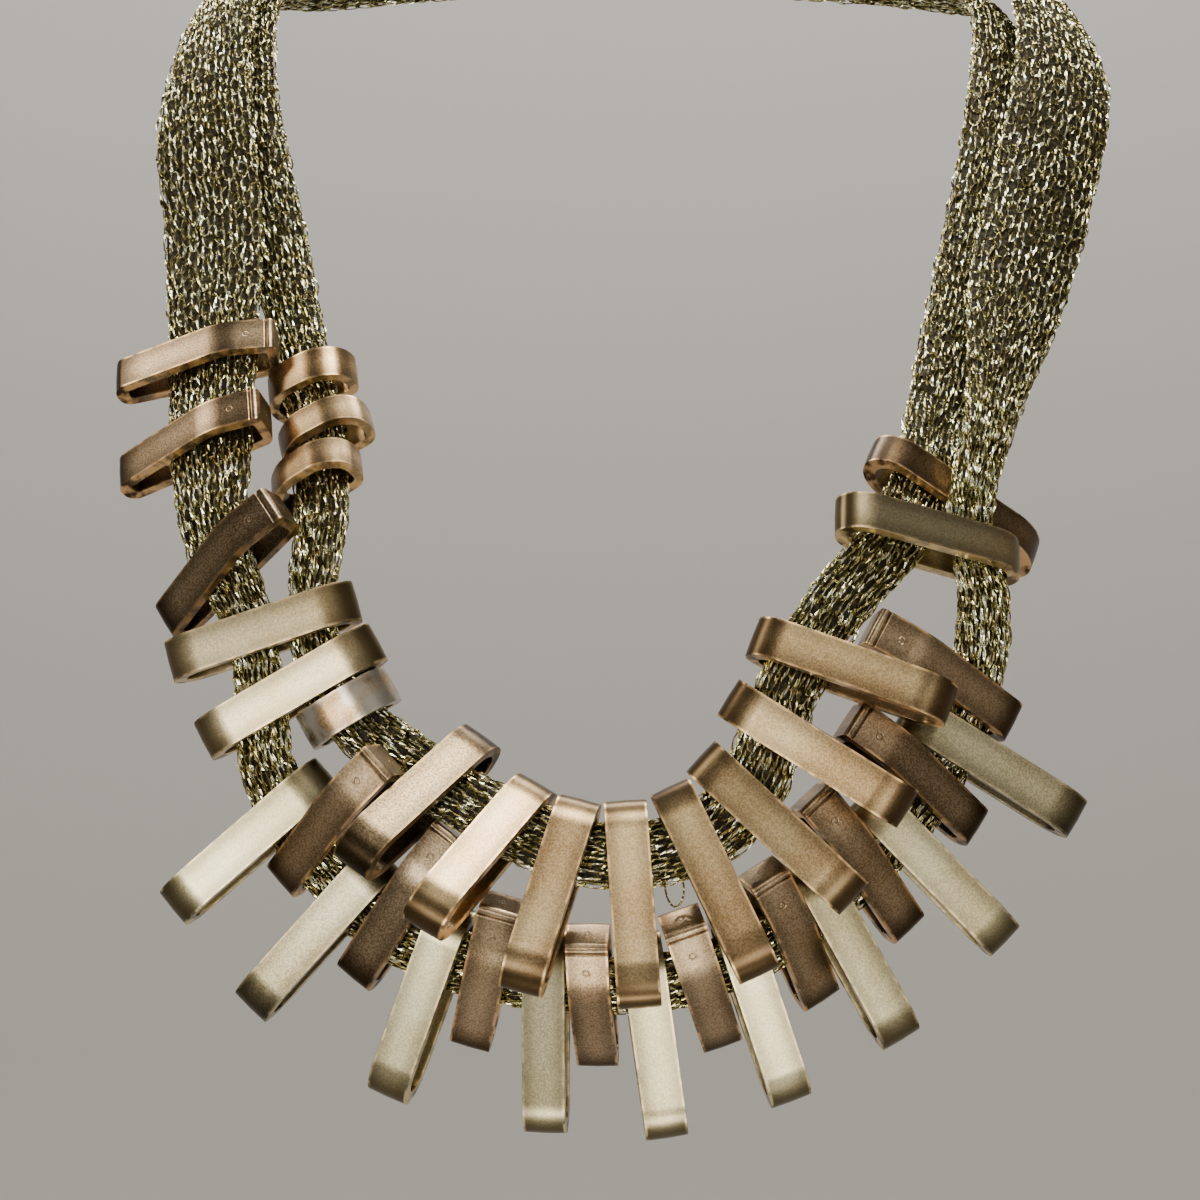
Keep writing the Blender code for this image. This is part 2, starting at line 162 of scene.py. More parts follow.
# Route of each tube, left end to right end: place in mm, the way its flat face looks
# (face: degrees round from the front, + to the right; rise: degrees up), and its
# width and thickness as shares of TUBE_WIDTH and TUBE_THICKNESS
INNER_ROUTE = [
    Stop(-12, 0, 0, -180, 10, 0.80, 1.10),
    Stop(-42, -2, -3, -158, 25, 0.90, 1.15),
    Stop(-72, -20, -11, -130, 48, 1.00, 1.20),
    Stop(-88, -46, -21, -85, 62, 1.05, 1.25),
    Stop(-88, -76, -50, -35, 48, 1.05, 1.25),
    Stop(-78, -99, -87, -27, 38, 0.95, 1.10),
    Stop(-70, -119, -115, -24, 36, 0.78, 1.00),
    Stop(-65, -134, -133, -24, 36, 0.80, 1.00),
    Stop(-63, -148, -149, -24, 24, 0.80, 1.05),
    Stop(-64, -154, -166, -24, 8, 0.70, 1.00),
    Stop(-61, -157, -181, -22, 10, 0.74, 0.95),
    Stop(-50, -159, -193, -18, 22, 0.82, 0.90),
    Stop(-32, -167, -204, -10, 34, 0.86, 0.95),
    Stop(-11, -172, -213, -4, 22, 0.88, 1.00),
    Stop(8, -173, -212, 4, 20, 0.88, 1.00),
    Stop(21, -171, -202, 9, 18, 0.88, 1.00),
    Stop(29, -167, -182, 12, 14, 0.82, 1.00),
    Stop(39, -161, -166, 16, 12, 0.84, 1.00),
    Stop(50, -154, -154, 20, 18, 0.86, 0.85),
    Stop(58, -141, -141, 22, 32, 0.86, 0.80),
    Stop(64, -123, -123, 24, 38, 0.92, 0.85),
    Stop(74, -97, -91, 27, 38, 1.00, 1.10),
    Stop(84, -73, -53, 35, 48, 1.05, 1.25),
    Stop(87, -45, -24, 85, 62, 1.05, 1.25),
    Stop(72, -20, -11, 130, 48, 1.00, 1.20),
    Stop(42, -2, -3, 158, 25, 0.90, 1.15),
    Stop(12, 0, 0, 180, 10, 0.80, 1.10),
]
OUTER_ROUTE = [
    Stop(-12, 0, 0, -180, 10, 0.80, 1.10),
    Stop(-44, 3.5, -1, -158, 25, 0.95, 1.15),
    Stop(-77, -17, -6, -130, 48, 1.20, 1.20),
    Stop(-94, -46, -16, -85, 62, 1.40, 1.25),
    Stop(-97, -79, -50, -35, 48, 1.55, 1.25),
    Stop(-92, -99, -84, -30, 36, 1.65, 1.20),
    Stop(-89, -119, -112, -28, 40, 1.40, 1.05),
    Stop(-87, -135, -134, -28, 38, 1.25, 1.05),
    Stop(-84, -146, -153, -28, 22, 1.00, 1.05),
    Stop(-77, -152, -170, -26, 10, 0.74, 1.00),
    Stop(-74, -154, -185, -26, 6, 0.76, 1.00),
    Stop(-72, -156, -200, -24, 2, 0.84, 0.90),
    Stop(-61, -160, -217, -22, -4, 0.82, 0.90),
    Stop(-46, -163, -230, -17, -8, 0.84, 0.95),
    Stop(-26, -167, -237, -10, -16, 0.82, 0.95),
    Stop(-4, -169, -239, -2, -20, 0.82, 0.95),
    Stop(17, -168, -235, 7, -18, 0.82, 0.95),
    Stop(37, -164, -223, 14, -12, 0.82, 0.95),
    Stop(56, -160, -203, 20, -6, 0.84, 0.95),
    Stop(66, -156, -183, 24, 0, 0.84, 1.00),
    Stop(69, -152, -166, 25, 8, 0.82, 0.90),
    Stop(67, -147, -148, 25, 26, 0.66, 0.80),
    Stop(73, -135, -127, 26, 38, 0.78, 0.85),
    Stop(82, -112, -99, 28, 38, 1.50, 1.15),
    Stop(92, -92, -70, 30, 40, 1.65, 1.20),
    Stop(99, -73, -42, 38, 50, 1.60, 1.25),
    Stop(95, -43, -15, 85, 62, 1.40, 1.25),
    Stop(77, -17, -6, 130, 48, 1.20, 1.20),
    Stop(44, 3.5, -1, 158, 25, 0.95, 1.15),
    Stop(12, 0, 0, 180, 10, 0.80, 1.10),
]

# Links, each hung by its upper inner end over a tube: along is the share of the half tube
# from its middle, clock is where the free end points (degrees from straight down, + to the
# right), lift is how many degrees it leans out to the front, roll turns it about its own length,
# ride is how far it sits up its own length, as a share of the tube's free way in the opening,
# and set how far forward, in mm
LINKS = [
    Link("upper_link_1", "long", "inner", -0.0955, -48, 36.5, -6, 0.245, -0.2),
    Link("upper_link_2", "long", "inner", -0.05, -42, 38.5, 0.5, 0.051, 0.3),
    Link("upper_link_3", "long", "inner", -0.017, -18.5, 29.5, -0.5, 0.014, 0.8),
    Link("upper_link_4", "long", "inner", 0.016, 4, 25, -2, 0.043, 1),
    Link("upper_link_5", "long", "inner", 0.0515, 26, 23, 1.5, 0.086, 0.8),
    Link("upper_link_6", "long", "inner", 0.0865, 47.5, 20, 5.5, 0.112, 0.1),
    Link("upper_link_7", "long", "inner", 0.1275, 58, 10, 9, 0.063, 0),
    Link("upper_link_8", "long", "inner", 0.169, 70.5, 9.5, 3.5, 0.08, 0),
    Link("lower_link_1", "long", "outer", -0.1855, -49, 0, -3, 0.09, 0.1),
    Link("lower_link_2", "long", "outer", -0.134, -42, -6, 0, 0.05, -0.4),
    Link("lower_link_3", "long", "outer", -0.083, -20, -6, 1.5, 0.051, -0.4),
    Link("lower_link_4", "long", "outer", -0.031, 0, -9, -1.5, 0.05, -0.4),
    Link("lower_link_5", "long", "outer", 0.0155, 8, -6.5, -1.5, 0.036, 0),
    Link("lower_link_6", "long", "outer", 0.063, 18.5, -8.5, 3.5, 0.036, -0.3),
    Link("lower_link_7", "long", "outer", 0.1095, 29, -3.5, 1.5, 0.036, 0.6),
    Link("lower_link_8", "long", "outer", 0.1575, 44.5, -4.5, 3, 0.023, 0.4),
    Link("lower_link_9", "long", "outer", 0.208, 58, -1.5, 1, 0.113, 0),
    Link("wedge_link_1", "wedge", "outer", -0.4385, -79, -6, 0, 0.09, -0.3),
    Link("wedge_link_2", "wedge", "outer", -0.3865, -69, -16.5, -0.5, 0.048, -0.4),
    Link("wedge_link_3", "wedge", "outer", -0.311, -47, -16.5, 0, 0.475, 0),
    Link("wedge_link_4", "wedge", "outer", -0.1635, -41.5, -20, 1, 0.975, 0.8),
    Link("wedge_link_5", "wedge", "outer", -0.1105, -35.5, -7.5, 4.5, 0.813, 0.1),
    Link("wedge_link_6", "wedge", "outer", -0.059, -13.5, -28, -4, 0.434, -0.1),
    Link("wedge_link_7", "wedge", "outer", -0.0095, 4, -36, 0, 0.273, -0.3),
    Link("wedge_link_8", "wedge", "outer", 0.041, 18, -35, 0.5, 0.353, -0.1),
    Link("wedge_link_9", "wedge", "outer", 0.088, 25.5, -31, 1, 0.39, -0.1),
    Link("wedge_link_10", "wedge", "outer", 0.134, 37.5, -16, -4.5, 0.551, -0.3),
    Link("wedge_link_11", "wedge", "outer", 0.1835, 50.5, -14.5, -7, 0.748, 0),
    Link("wedge_link_12", "wedge", "outer", 0.2325, 57.5, -10.5, -2, 0.921, 0.2),
    Link("cross_link_1", "long", "outer", -0.272, -71.5, -10, -0.5, 0.611, 0.1),
    Link("cross_link_2", "long", "outer", -0.237, -60, -6.5, -2, 0.772, 0),
    Link("cross_link_3", "long", "inner", 0.2595, 75.5, -17.5, 1, 0.212, 1.3),
    Link("shoulder_link_1", "long", "inner", 0.3075, 56.5, -6.5, 0.5, 0.108, -1.3),
    Link("short_link_1", "short", "inner", -0.3795, -66, -22, -4, 0.647, 0.4),
    Link("short_link_2", "short", "inner", -0.3375, -62.5, -8.5, 2.5, 0.87, 0),
    Link("short_link_3", "short", "inner", -0.3055, -59, -18, 0, 0.029, 0.8),
    Link("short_link_4", "short", "inner", -0.162, -59, -10, 4, 0.548, 0),
]

# Coat of each family of links: its bright and deep tones, the tone of the painted highlight on its
# rims and the tone of the painted shade at its ends and edges
COATS = {
    "upper": Coat(bright=(0.57, 0.41, 0.20, 1), deep=(0.43, 0.26, 0.105, 1),
                  rim=(0.95, 0.62, 0.29, 1), shade=(0.070, 0.042, 0.018, 1)),
    "lower": Coat(bright=(0.76, 0.70, 0.43, 1), deep=(0.64, 0.55, 0.29, 1),
                  rim=(0.95, 0.75, 0.41, 1), shade=(0.085, 0.064, 0.032, 1)),
    # Darkened as painted shade of the wedge links
    "wedge": Coat(bright=(0.40, 0.285, 0.165, 1), deep=(0.29, 0.175, 0.088, 1),
                  rim=(0.90, 0.55, 0.25, 1), shade=(0.040, 0.023, 0.011, 1)),
    "cross": Coat(bright=(0.80, 0.68, 0.40, 1), deep=(0.68, 0.51, 0.26, 1),
                  rim=(0.92, 0.68, 0.36, 1), shade=(0.110, 0.078, 0.036, 1)),
    "short": Coat(bright=(0.60, 0.40, 0.19, 1), deep=(0.50, 0.29, 0.12, 1),
                  rim=(0.90, 0.60, 0.29, 1), shade=(0.055, 0.033, 0.015, 1)),
    # Darkened as painted shade of the shoulder link
    "shoulder": Coat(bright=(0.38, 0.24, 0.11, 1), deep=(0.30, 0.16, 0.065, 1),
                     rim=(0.84, 0.54, 0.27, 1), shade=(0.05, 0.03, 0.015, 1)),
}

# Castings whose coat is darkened as painted shade, by the share of the coat's tone that is left, and
# the one that is worn bare
SHADE_DIMMED_LINKS = {
    "upper_link_1": 0.34, "lower_link_2": 0.50, "lower_link_9": 0.55,
    "wedge_link_3": 0.55, "wedge_link_5": 0.70, "wedge_link_11": 0.70,
}
WORN_LINK = "short_link_4"
WORN_SHARE = 0.12

# How far from a casting's end or edge its painted shade and the painted highlight on its rims
# start and are full, and how strong they are
END_SHADE = (7.5 * MM, 1.5 * MM)
END_SHADE_STRENGTH = 0.92
EDGE_SHADE = (3.4 * MM, 0.7 * MM)
EDGE_SHADE_STRENGTH = 0.42
RIM_SHINE = (0.6 * MM, 0.2 * MM)
RIM_SHINE_STRENGTH = 0.75

# Speckle in the coat: its two tones and how strong each is; bare metal where the coat is worn
DARK_GRAIN = (0.12, 0.07, 0.035, 1)
DARK_GRAIN_STRENGTH = 0.30
LIGHT_GRAIN = (0.95, 0.80, 0.55, 1)
LIGHT_GRAIN_STRENGTH = 0.22
BARE_METAL = (0.62, 0.60, 0.54, 1)
BARE_STRENGTH = 0.8

# Rings that casting gates leave on a wedge link: places along it, towards its front and across
# its band, then the radius and how far off it the ring starts to fade and is gone
GATE_MARKS = ((4.6 * MM, 9.9 * MM, 0.2 * MM), (-0.6 * MM, 4.8 * MM, 0.1 * MM))
GATE_RADIUS = 0.6 * MM
GATE_RING = (0.05 * MM, 0.22 * MM)

# Tones of the yarn by their place on the noise: olive, gold, silver and back towards olive, then
# the two tones of the knit's inside, painted dark as its shade, and of the clasp
YARN_TONES = (
    (0.32, (0.09, 0.075, 0.025, 1)),
    (0.43, (0.38, 0.33, 0.135, 1)),
    (0.53, (0.60, 0.55, 0.28, 1)),
    (0.62, (0.96, 0.97, 0.80, 1)),
    (0.74, (0.58, 0.60, 0.34, 1)),
)
SHADED_INSIDE_TONES = ((0.020, 0.015, 0.008, 1), (0.11, 0.09, 0.042, 1))
CLASP_TONES = ((0.50, 0.38, 0.24, 1), (0.74, 0.60, 0.40, 1))

# Pale floor, a bowl round the part: how far it lies below, its radius, the radius of its bend,
# the height of its wall, its sides, the steps of its bend, its middle and its tone
FLOOR_DROP = 0.75
FLOOR_RADIUS = 1.5
FLOOR_BEND = 0.5
FLOOR_TOP = 1.1
FLOOR_SIDES = 96
FLOOR_STEPS = 12
FLOOR_MIDDLE_Y = -0.1
FLOOR_TONE = (0.52, 0.50, 0.47, 1)

# Soft light of the room
ROOM_TONE = (0.75, 0.76, 0.78, 1)
ROOM_STRENGTH = 0.04

# Lights: place and aim in metres, size in metres, power in watts
FAN = (0, -0.16, -0.17)
BACKDROP = (0, 1.40, -0.25)
LIGHTS = [
    Light("overhead", (0.09, -0.30, 0.55), FAN, (0.28, 0.20), 3.9, (1.0, 0.98, 0.91)),
    Light("upper_front", (-0.04, -0.88, 0.50), FAN, (0.44, 0.24), 1.15, (1.0, 0.96, 0.87)),
    Light("left_front", (-0.44, -1.10, -0.20), FAN, (0.38, 0.30), 4.0, (1.0, 0.98, 0.92)),
    Light("right_front", (0.24, -1.06, -0.54), FAN, (0.34, 0.26), 2.6, (1.0, 0.98, 0.92)),
    Light("right_side", (0.52, -1.00, 0.06), FAN, (0.24, 0.24), 0.4, (1.0, 0.96, 0.88)),
    Light("lower_front", (0.03, -0.62, -0.86), FAN, (0.42, 0.14), 2.3, (1.0, 0.97, 0.89)),
    Light("behind_top", (0.0, 0.24, 0.46), FAN, (0.50, 0.18), 4.2, (1.0, 0.94, 0.84)),
    Light("left_side", (-0.75, -0.12, 0.48), FAN, (0.20, 0.30), 2.0, (1.0, 0.95, 0.86)),
    Light("backdrop_wash", (0.0, 0.62, 0.85), BACKDROP, (1.4, 0.25), 13, (1, 1, 1)),
]

# Place of the camera in metres, and its lens in mm
CAMERA_PLACE = (-7.2 * MM, -652 * MM, -165 * MM)
CAMERA_LENS = 75.6
CAMERA_SENSOR = 36.0


def select_only(piece):
    """Makes one object the selected and active one."""
    bpy.ops.object.select_all(action="DESELECT")
    piece.select_set(True)
    bpy.context.view_layer.objects.active = piece


def finish_modifiers(piece):
    """Applies every modifier of a piece, in order."""
    select_only(piece)
    for modifier in list(piece.modifiers):
        bpy.ops.object.modifier_apply(modifier=modifier.name)


def fillet(corner, before, after, radius):
    """Arc of the given radius that rounds one corner of an outline."""
    into = (before - corner).normalized()
    out = (after - corner).normalized()
    half = into.angle(out) / 2
    centre = corner + (into + out).normalized() * (radius / math.sin(half))
    start = corner + into * (radius / math.tan(half)) - centre
    end = corner + out * (radius / math.tan(half)) - centre
    sweep = math.atan2(start.x * end.y - start.y * end.x, start.dot(end))
    return [centre + Matrix.Rotation(sweep * k / ARC_STEPS, 2) @ start for k in range(ARC_STEPS + 1)]


def rounded_outline(corners, radii):
    """Closed outline through the corners, each rounded by its own radius."""
    points = []
    for i, corner in enumerate(corners):
        following = corners[(i + 1) % len(corners)]
        points += fillet(corner, corners[i - 1], following, radii[i])
    return points


def inset_corners(corners, walls):
    """Corners of the opening: side i, from corner i to the next, moves in by its own wall."""
    moved = []
    for i, corner in enumerate(corners):
        before = (corner - corners[i - 1]).normalized()
        after = (corners[(i + 1) % len(corners)] - corner).normalized()
        sine = before.cross(after)
        moved.append(corner + (before * walls[i] - after * walls[i - 1]) / sine)
    return moved


def oval_outline(half_length, half_depth, end_run):
    """Flat sides joined by half ellipses, as the long link has."""
    points = []
    for side in (1, -1):
        for step in range(-ARC_STEPS, ARC_STEPS + 1):
            turn = math.pi / 2 * step / ARC_STEPS
            along = half_length - end_run + end_run * math.cos(turn)
            points.append(Vector((side * along, side * half_depth * math.sin(turn))))
    return points


def long_kind():
    """Long link: flat sides and elliptical ends."""
    half = LONG_LENGTH / 2
    outer = oval_outline(half, LONG_DEPTH / 2, LONG_ROUND)
    inner = oval_outline(half - END_WALL, LONG_DEPTH / 2 - WALL, LONG_ROUND - END_WALL)
    return Kind(outer, inner, LONG_BAND, Vector((END_WALL - half, 0)), LONG_LENGTH - 2 * END_WALL, half)


def seam_notch(top, bottom):
    """Points of the narrow seam that crosses a wedge link's face just below its cap."""
    down = (bottom - top).normalized()
    inward = Vector((down.y, -down.x))
    start = top + down * SEAM_BELOW_CAP
    lip = SEAM_WIDTH / 3
    return [
        start - down * lip,
        start + inward * lip / 2,
        start + down * (SEAM_WIDTH / 2 - lip / 2) + inward * SEAM_DEPTH,
        start + down * (SEAM_WIDTH / 2 + lip / 2) + inward * SEAM_DEPTH,
        start + down * SEAM_WIDTH + inward * lip,
        start + down * (SEAM_WIDTH + lip) + inward * lip / 4,
        start + down * (SEAM_WIDTH + 2.5 * lip),
    ]


def wedge_kind():
    """Wedge link: cap, short face, long face, narrow end and back leg, round from the back."""
    bend = WEDGE_SHORT_FACE - WEDGE_CAP_RISE
    sides = ((0, 0), (-WEDGE_CAP_RISE, WEDGE_CAP), (bend, WEDGE_DEPTH),
             (WEDGE_LENGTH, WEDGE_NARROW), (WEDGE_LENGTH, 0))
    corners = [Vector(side) for side in sides]
    opening = inset_corners(corners, (WALL, WALL, WALL, END_WALL, WALL))
    outer = []
    for i, corner in enumerate(corners):
        following = corners[(i + 1) % len(corners)]
        outer += fillet(corner, corners[i - 1], following, WEDGE_FILLETS[i])
        if i == 1:
            outer += seam_notch(corner, following)
    inner = rounded_outline(opening, WEDGE_INNER_FILLETS)
    eye = Vector((WALL, WEDGE_CAP / 2))
    return Kind(outer, inner, WEDGE_BAND, eye, WEDGE_LENGTH - WALL - END_WALL, WEDGE_LENGTH)


def short_kind():
    """Short link: a D with its bow to the front."""
    sides = ((0, 0), (0, SHORT_FLANK), (SHORT_BOW, SHORT_DEPTH), (SHORT_LENGTH - SHORT_BOW, SHORT_DEPTH),
             (SHORT_LENGTH, SHORT_FLANK), (SHORT_LENGTH, 0))
    corners = [Vector(side) for side in sides]
    opening = inset_corners(corners, (WALL,) * len(corners))
    outer = rounded_outline(corners, SHORT_FILLETS)
    inner = rounded_outline(opening, SHORT_INNER_FILLETS)
    eye = Vector((WALL, SHORT_DEPTH / 2))
    return Kind(outer, inner, SHORT_BAND, eye, SHORT_LENGTH - 2 * WALL, SHORT_LENGTH)


def smooth_rows(stops):
    """Rows close together along a Catmull-Rom curve through the stops."""
    rows = np.array(stops, dtype=float)
    rows[:, :3] *= MM
    padded = np.vstack([2 * rows[0] - rows[1], rows, 2 * rows[-1] - rows[-2]])
    fine = []
    for a, b, c, d in zip(padded, padded[1:], padded[2:], padded[3:]):
        for t in np.arange(0, 1, 1 / SPLINE_STEPS):
            fine.append(0.5 * (2 * b + (c - a) * t + (2 * a - 5 * b + 4 * c - d) * t ** 2
                               + (3 * b - a - 3 * c + d) * t ** 3))
    fine.append(rows[-1])
    return np.array(fine)


class Tube:
    """Route of a knitted tube, read by the length along it."""

    def __init__(self, stops):
        self.rows = smooth_rows(stops)
        steps = np.linalg.norm(np.diff(self.rows[:, :3], axis=0), axis=1)
        self.reach = np.concatenate([[0], np.cumsum(steps)])
        self.length = self.reach[-1]

    def row(self, length):
        """Values of the route at a length from the left end."""
        return [float(np.interp(length, self.reach, column)) for column in self.rows.T]

    def section(self, length):
        """Cross section at a length from the left end."""
        x, y, z, face, rise, wide, thick = self.row(length)
        before = Vector(self.row(length - TUBE_STEP / 2)[:3])
        after = Vector(self.row(length + TUBE_STEP / 2)[:3])
        tangent = (after - before).normalized()
        # Both ends lie square to the flat ends of the clasp
        if length <= 0 or length >= self.length:
            tangent = Vector((-1, 0, 0))
        turn = math.radians(face)
        tip = math.radians(rise)
        looks = Vector((math.sin(turn) * math.cos(tip), -math.cos(turn) * math.cos(tip), math.sin(tip)))
        front = (looks - tangent * looks.dot(tangent)).normalized()
        across = tangent.cross(front)
        return Section(Vector((x, y, z)), tangent, front, across, wide * TUBE_WIDTH / 2,
                       thick * TUBE_THICKNESS / 2)

    def at_share(self, share):
        """Cross section at a share of the half tube from its middle."""
        return self.section(self.length / 2 * (1 + share))


def seated(stops, depth):
    """Route whose two ends meet the flat ends of the clasp, at a depth inside its thickness."""
    reach = CLASP_LENGTH / 2 + SEAT_GAP
    first = stops[0]._replace(x=-reach / MM, y=depth / MM, z=0)
    last = stops[-1]._replace(x=reach / MM, y=depth / MM, z=0)
    return [first, *stops[1:-1], last]


def hung(link, kind, tube):
    """Where a link lies: its eye over the tube, its free end where clock and lift point."""
    section = tube.at_share(link.along)
    clock = math.radians(link.clock)
    lift = math.radians(link.lift)
    down = Vector((math.sin(clock) * math.cos(lift), -math.sin(lift), -math.cos(clock) * math.cos(lift)))
    band_axis = (section.tangent - down * section.tangent.dot(down)).normalized()
    band_axis.rotate(Matrix.Rotation(math.radians(link.roll), 3, down))
    front = down.cross(band_axis)
    reach = math.hypot(section.half_width * section.across.dot(down),
                       section.half_thickness * section.front.dot(down)) + HANG_GAP
    up = reach + link.ride * (kind.opening - 2 * reach)
    eye = down * kind.eye.x + front * kind.eye.y
    origin = section.place - down * up + front * (link.set * MM) - eye
    turned = Matrix((down, front, down.cross(front))).transposed().to_4x4()
    return Matrix.Translation(origin) @ turned


class Nodes:
    """Short way to add and join the shader nodes of one material."""

    def __init__(self, name):
        self.material = bpy.data.materials.new(name)
        self.material.use_nodes = True
        self.tree = self.material.node_tree
        self.shader = self.tree.nodes["Principled BSDF"]

    def add(self, kind, **settings):
        node = self.tree.nodes.new(kind)
        for key, value in settings.items():
            setattr(node, key, value)
        return node

    def join(self, source, target):
        self.tree.links.new(source, target)

    def put(self, socket, value):
        if isinstance(value, bpy.types.NodeSocket):
            self.join(value, socket)
        else:
            socket.default_value = value

    def math(self, operation, *values):
        node = self.add("ShaderNodeMath", operation=operation)
        for socket, value in zip(node.inputs, values):
            self.put(socket, value)
        return node.outputs[0]

    def between(self, value, low, high):
        """0 below low, 1 above high, smooth in between."""
        node = self.add("ShaderNodeMapRange", interpolation_type="SMOOTHSTEP")
        self.join(value, node.inputs["Value"])
        node.inputs["From Min"].default_value = low
        node.inputs["From Max"].default_value = high
        return node.outputs["Result"]

    def mix(self, share, first, second):
        node = self.add("ShaderNodeMix", data_type="RGBA")
        self.put(node.inputs[0], share)
        self.put(node.inputs[6], first)
        self.put(node.inputs[7], second)
        return node.outputs[2]

    def noise(self, place, scale, detail=2.0, rough=0.5):
        node = self.add("ShaderNodeTexNoise")
        self.join(place, node.inputs["Vector"])
        node.inputs["Scale"].default_value = scale
        node.inputs["Detail"].default_value = detail
        node.inputs["Roughness"].default_value = rough
        return node.outputs["Fac"]

    def bump(self, height, strength, distance, below=None):
        node = self.add("ShaderNodeBump")
        node.inputs["Strength"].default_value = strength
        node.inputs["Distance"].default_value = distance
        self.join(height, node.inputs["Height"])
        if below is not None:
            self.join(below, node.inputs["Normal"])
        return node.outputs["Normal"]


def dimmed(coat, share):
    """The same coat, toned down as painted shade on some castings."""
    return Coat(*((red * share, green * share, blue * share, 1) for red, green, blue, _ in coat))


def gate_mark(nodes, place, centre):
    """Ring that a casting gate leaves: 1 on the ring, 0 off it."""
    apart = nodes.add("ShaderNodeVectorMath", operation="DISTANCE")
    nodes.join(place, apart.inputs[0])
    apart.inputs[1].default_value = centre
    off_ring = nodes.math("ABSOLUTE", nodes.math("SUBTRACT", apart.outputs["Value"], GATE_RADIUS))
    return nodes.math("SUBTRACT", 1.0, nodes.between(off_ring, *GATE_RING))


def near_limit(nodes, distance, limit, reach, strength):
    """Strength of a shading that grows towards a limit, from where it starts to where it is full."""
    start, full = reach
    return nodes.math("MULTIPLY", nodes.between(distance, limit - start, limit - full), strength)


def coat_tone(nodes, place, world, speckle, coat, kind, worn):
    """Colour of the coat: blushes, speckle, painted shade at the ends and edges, a painted highlight on the
    rims and bare metal.
    """
    along_across = nodes.add("ShaderNodeSeparateXYZ")
    nodes.join(place, along_across.inputs[0])
    along = nodes.math("ABSOLUTE", along_across.outputs["X"])
    across = nodes.math("ABSOLUTE", along_across.outputs["Z"])

    blush = nodes.between(nodes.noise(world, scale=60, detail=3.0), low=0.35, high=0.66)
    tone = nodes.mix(blush, coat.deep, coat.bright)
    grain = nodes.between(speckle, low=0.36, high=0.64)
    tone = nodes.mix(grain, nodes.mix(DARK_GRAIN_STRENGTH, tone, DARK_GRAIN),
                     nodes.mix(LIGHT_GRAIN_STRENGTH, tone, LIGHT_GRAIN))
    # Painted shade that darkens the ends, where they turn away from the lights
    ends = near_limit(nodes, along, kind.end, END_SHADE, END_SHADE_STRENGTH)
    tone = nodes.mix(ends, tone, coat.shade)
    # Painted shade along the band's edges
    edges = near_limit(nodes, across, kind.band / 2, EDGE_SHADE, EDGE_SHADE_STRENGTH)
    tone = nodes.mix(edges, tone, coat.shade)
    # Painted highlight along the rims, broken up by noise
    rims = near_limit(nodes, across, kind.band / 2, RIM_SHINE, RIM_SHINE_STRENGTH)
    unbroken = nodes.between(nodes.noise(world, scale=350), low=0.38, high=0.6)
    tone = nodes.mix(nodes.math("MULTIPLY", rims, unbroken), tone, coat.rim)
    if worn:
        patches = nodes.noise(world, scale=120, detail=4.0, rough=0.6)
        bare = nodes.between(patches, low=0.50 - worn, high=0.72 - worn)
        tone = nodes.mix(nodes.math("MULTIPLY", bare, BARE_STRENGTH), tone, BARE_METAL)
    return tone


def coat_material(name, coat, kind, worn=0.0):
    """Satin metallic coat on a casting. A higher worn leaves more bare metal, and 0 leaves none."""
    nodes = Nodes(name)
    place = nodes.add("ShaderNodeAttribute", attribute_name="cast_place").outputs["Vector"]
    world = nodes.add("ShaderNodeTexCoord").outputs["Object"]
    speckle = nodes.noise(world, scale=2600, rough=0.6)

    nodes.join(coat_tone(nodes, place, world, speckle, coat, kind, worn), nodes.shader.inputs["Base Color"])
    nodes.shader.inputs["Metallic"].default_value = 1.0
    nodes.shader.inputs["Coat Weight"].default_value = 0.05
    nodes.shader.inputs["Coat Roughness"].default_value = 0.16
    rough = nodes.add("ShaderNodeMapRange")
    nodes.join(speckle, rough.inputs["Value"])
    rough.inputs["To Min"].default_value = 0.26
    rough.inputs["To Max"].default_value = 0.38
    nodes.join(rough.outputs["Result"], nodes.shader.inputs["Roughness"])

    ripple = nodes.noise(world, scale=420, detail=3.0)
    normal = nodes.bump(ripple, strength=0.35, distance=0.05 * MM)
    normal = nodes.bump(speckle, strength=0.45, distance=0.025 * MM, below=normal)
    if kind is KINDS["wedge"]:
        for centre in GATE_MARKS:
            pit = nodes.math("MULTIPLY", gate_mark(nodes, place, centre), -1.0)
            normal = nodes.bump(pit, strength=0.8, distance=0.12 * MM, below=normal)
    nodes.join(normal, nodes.shader.inputs["Normal"])
    return nodes.material


def yarn_material():
    """Thin metallic yarn: gold, silver and olive by turns."""
    nodes = Nodes("metal_yarn")
    world = nodes.add("ShaderNodeTexCoord").outputs["Object"]
    ramp = nodes.add("ShaderNodeValToRGB")
    nodes.join(nodes.noise(world, scale=520, rough=0.6), ramp.inputs["Fac"])
    elements = ramp.color_ramp.elements
    while len(elements) < len(YARN_TONES):
        elements.new(0.5)
    for element, (at, tone) in zip(elements, YARN_TONES):
        element.position = at
        element.color = tone
    nodes.join(ramp.outputs["Color"], nodes.shader.inputs["Base Color"])
    nodes.shader.inputs["Metallic"].default_value = 1.0
    nodes.shader.inputs["Roughness"].default_value = 0.24
    fibres = nodes.noise(world, scale=5200, detail=1.0)
    nodes.join(nodes.bump(fibres, strength=0.3, distance=0.04 * MM), nodes.shader.inputs["Normal"])
    return nodes.material


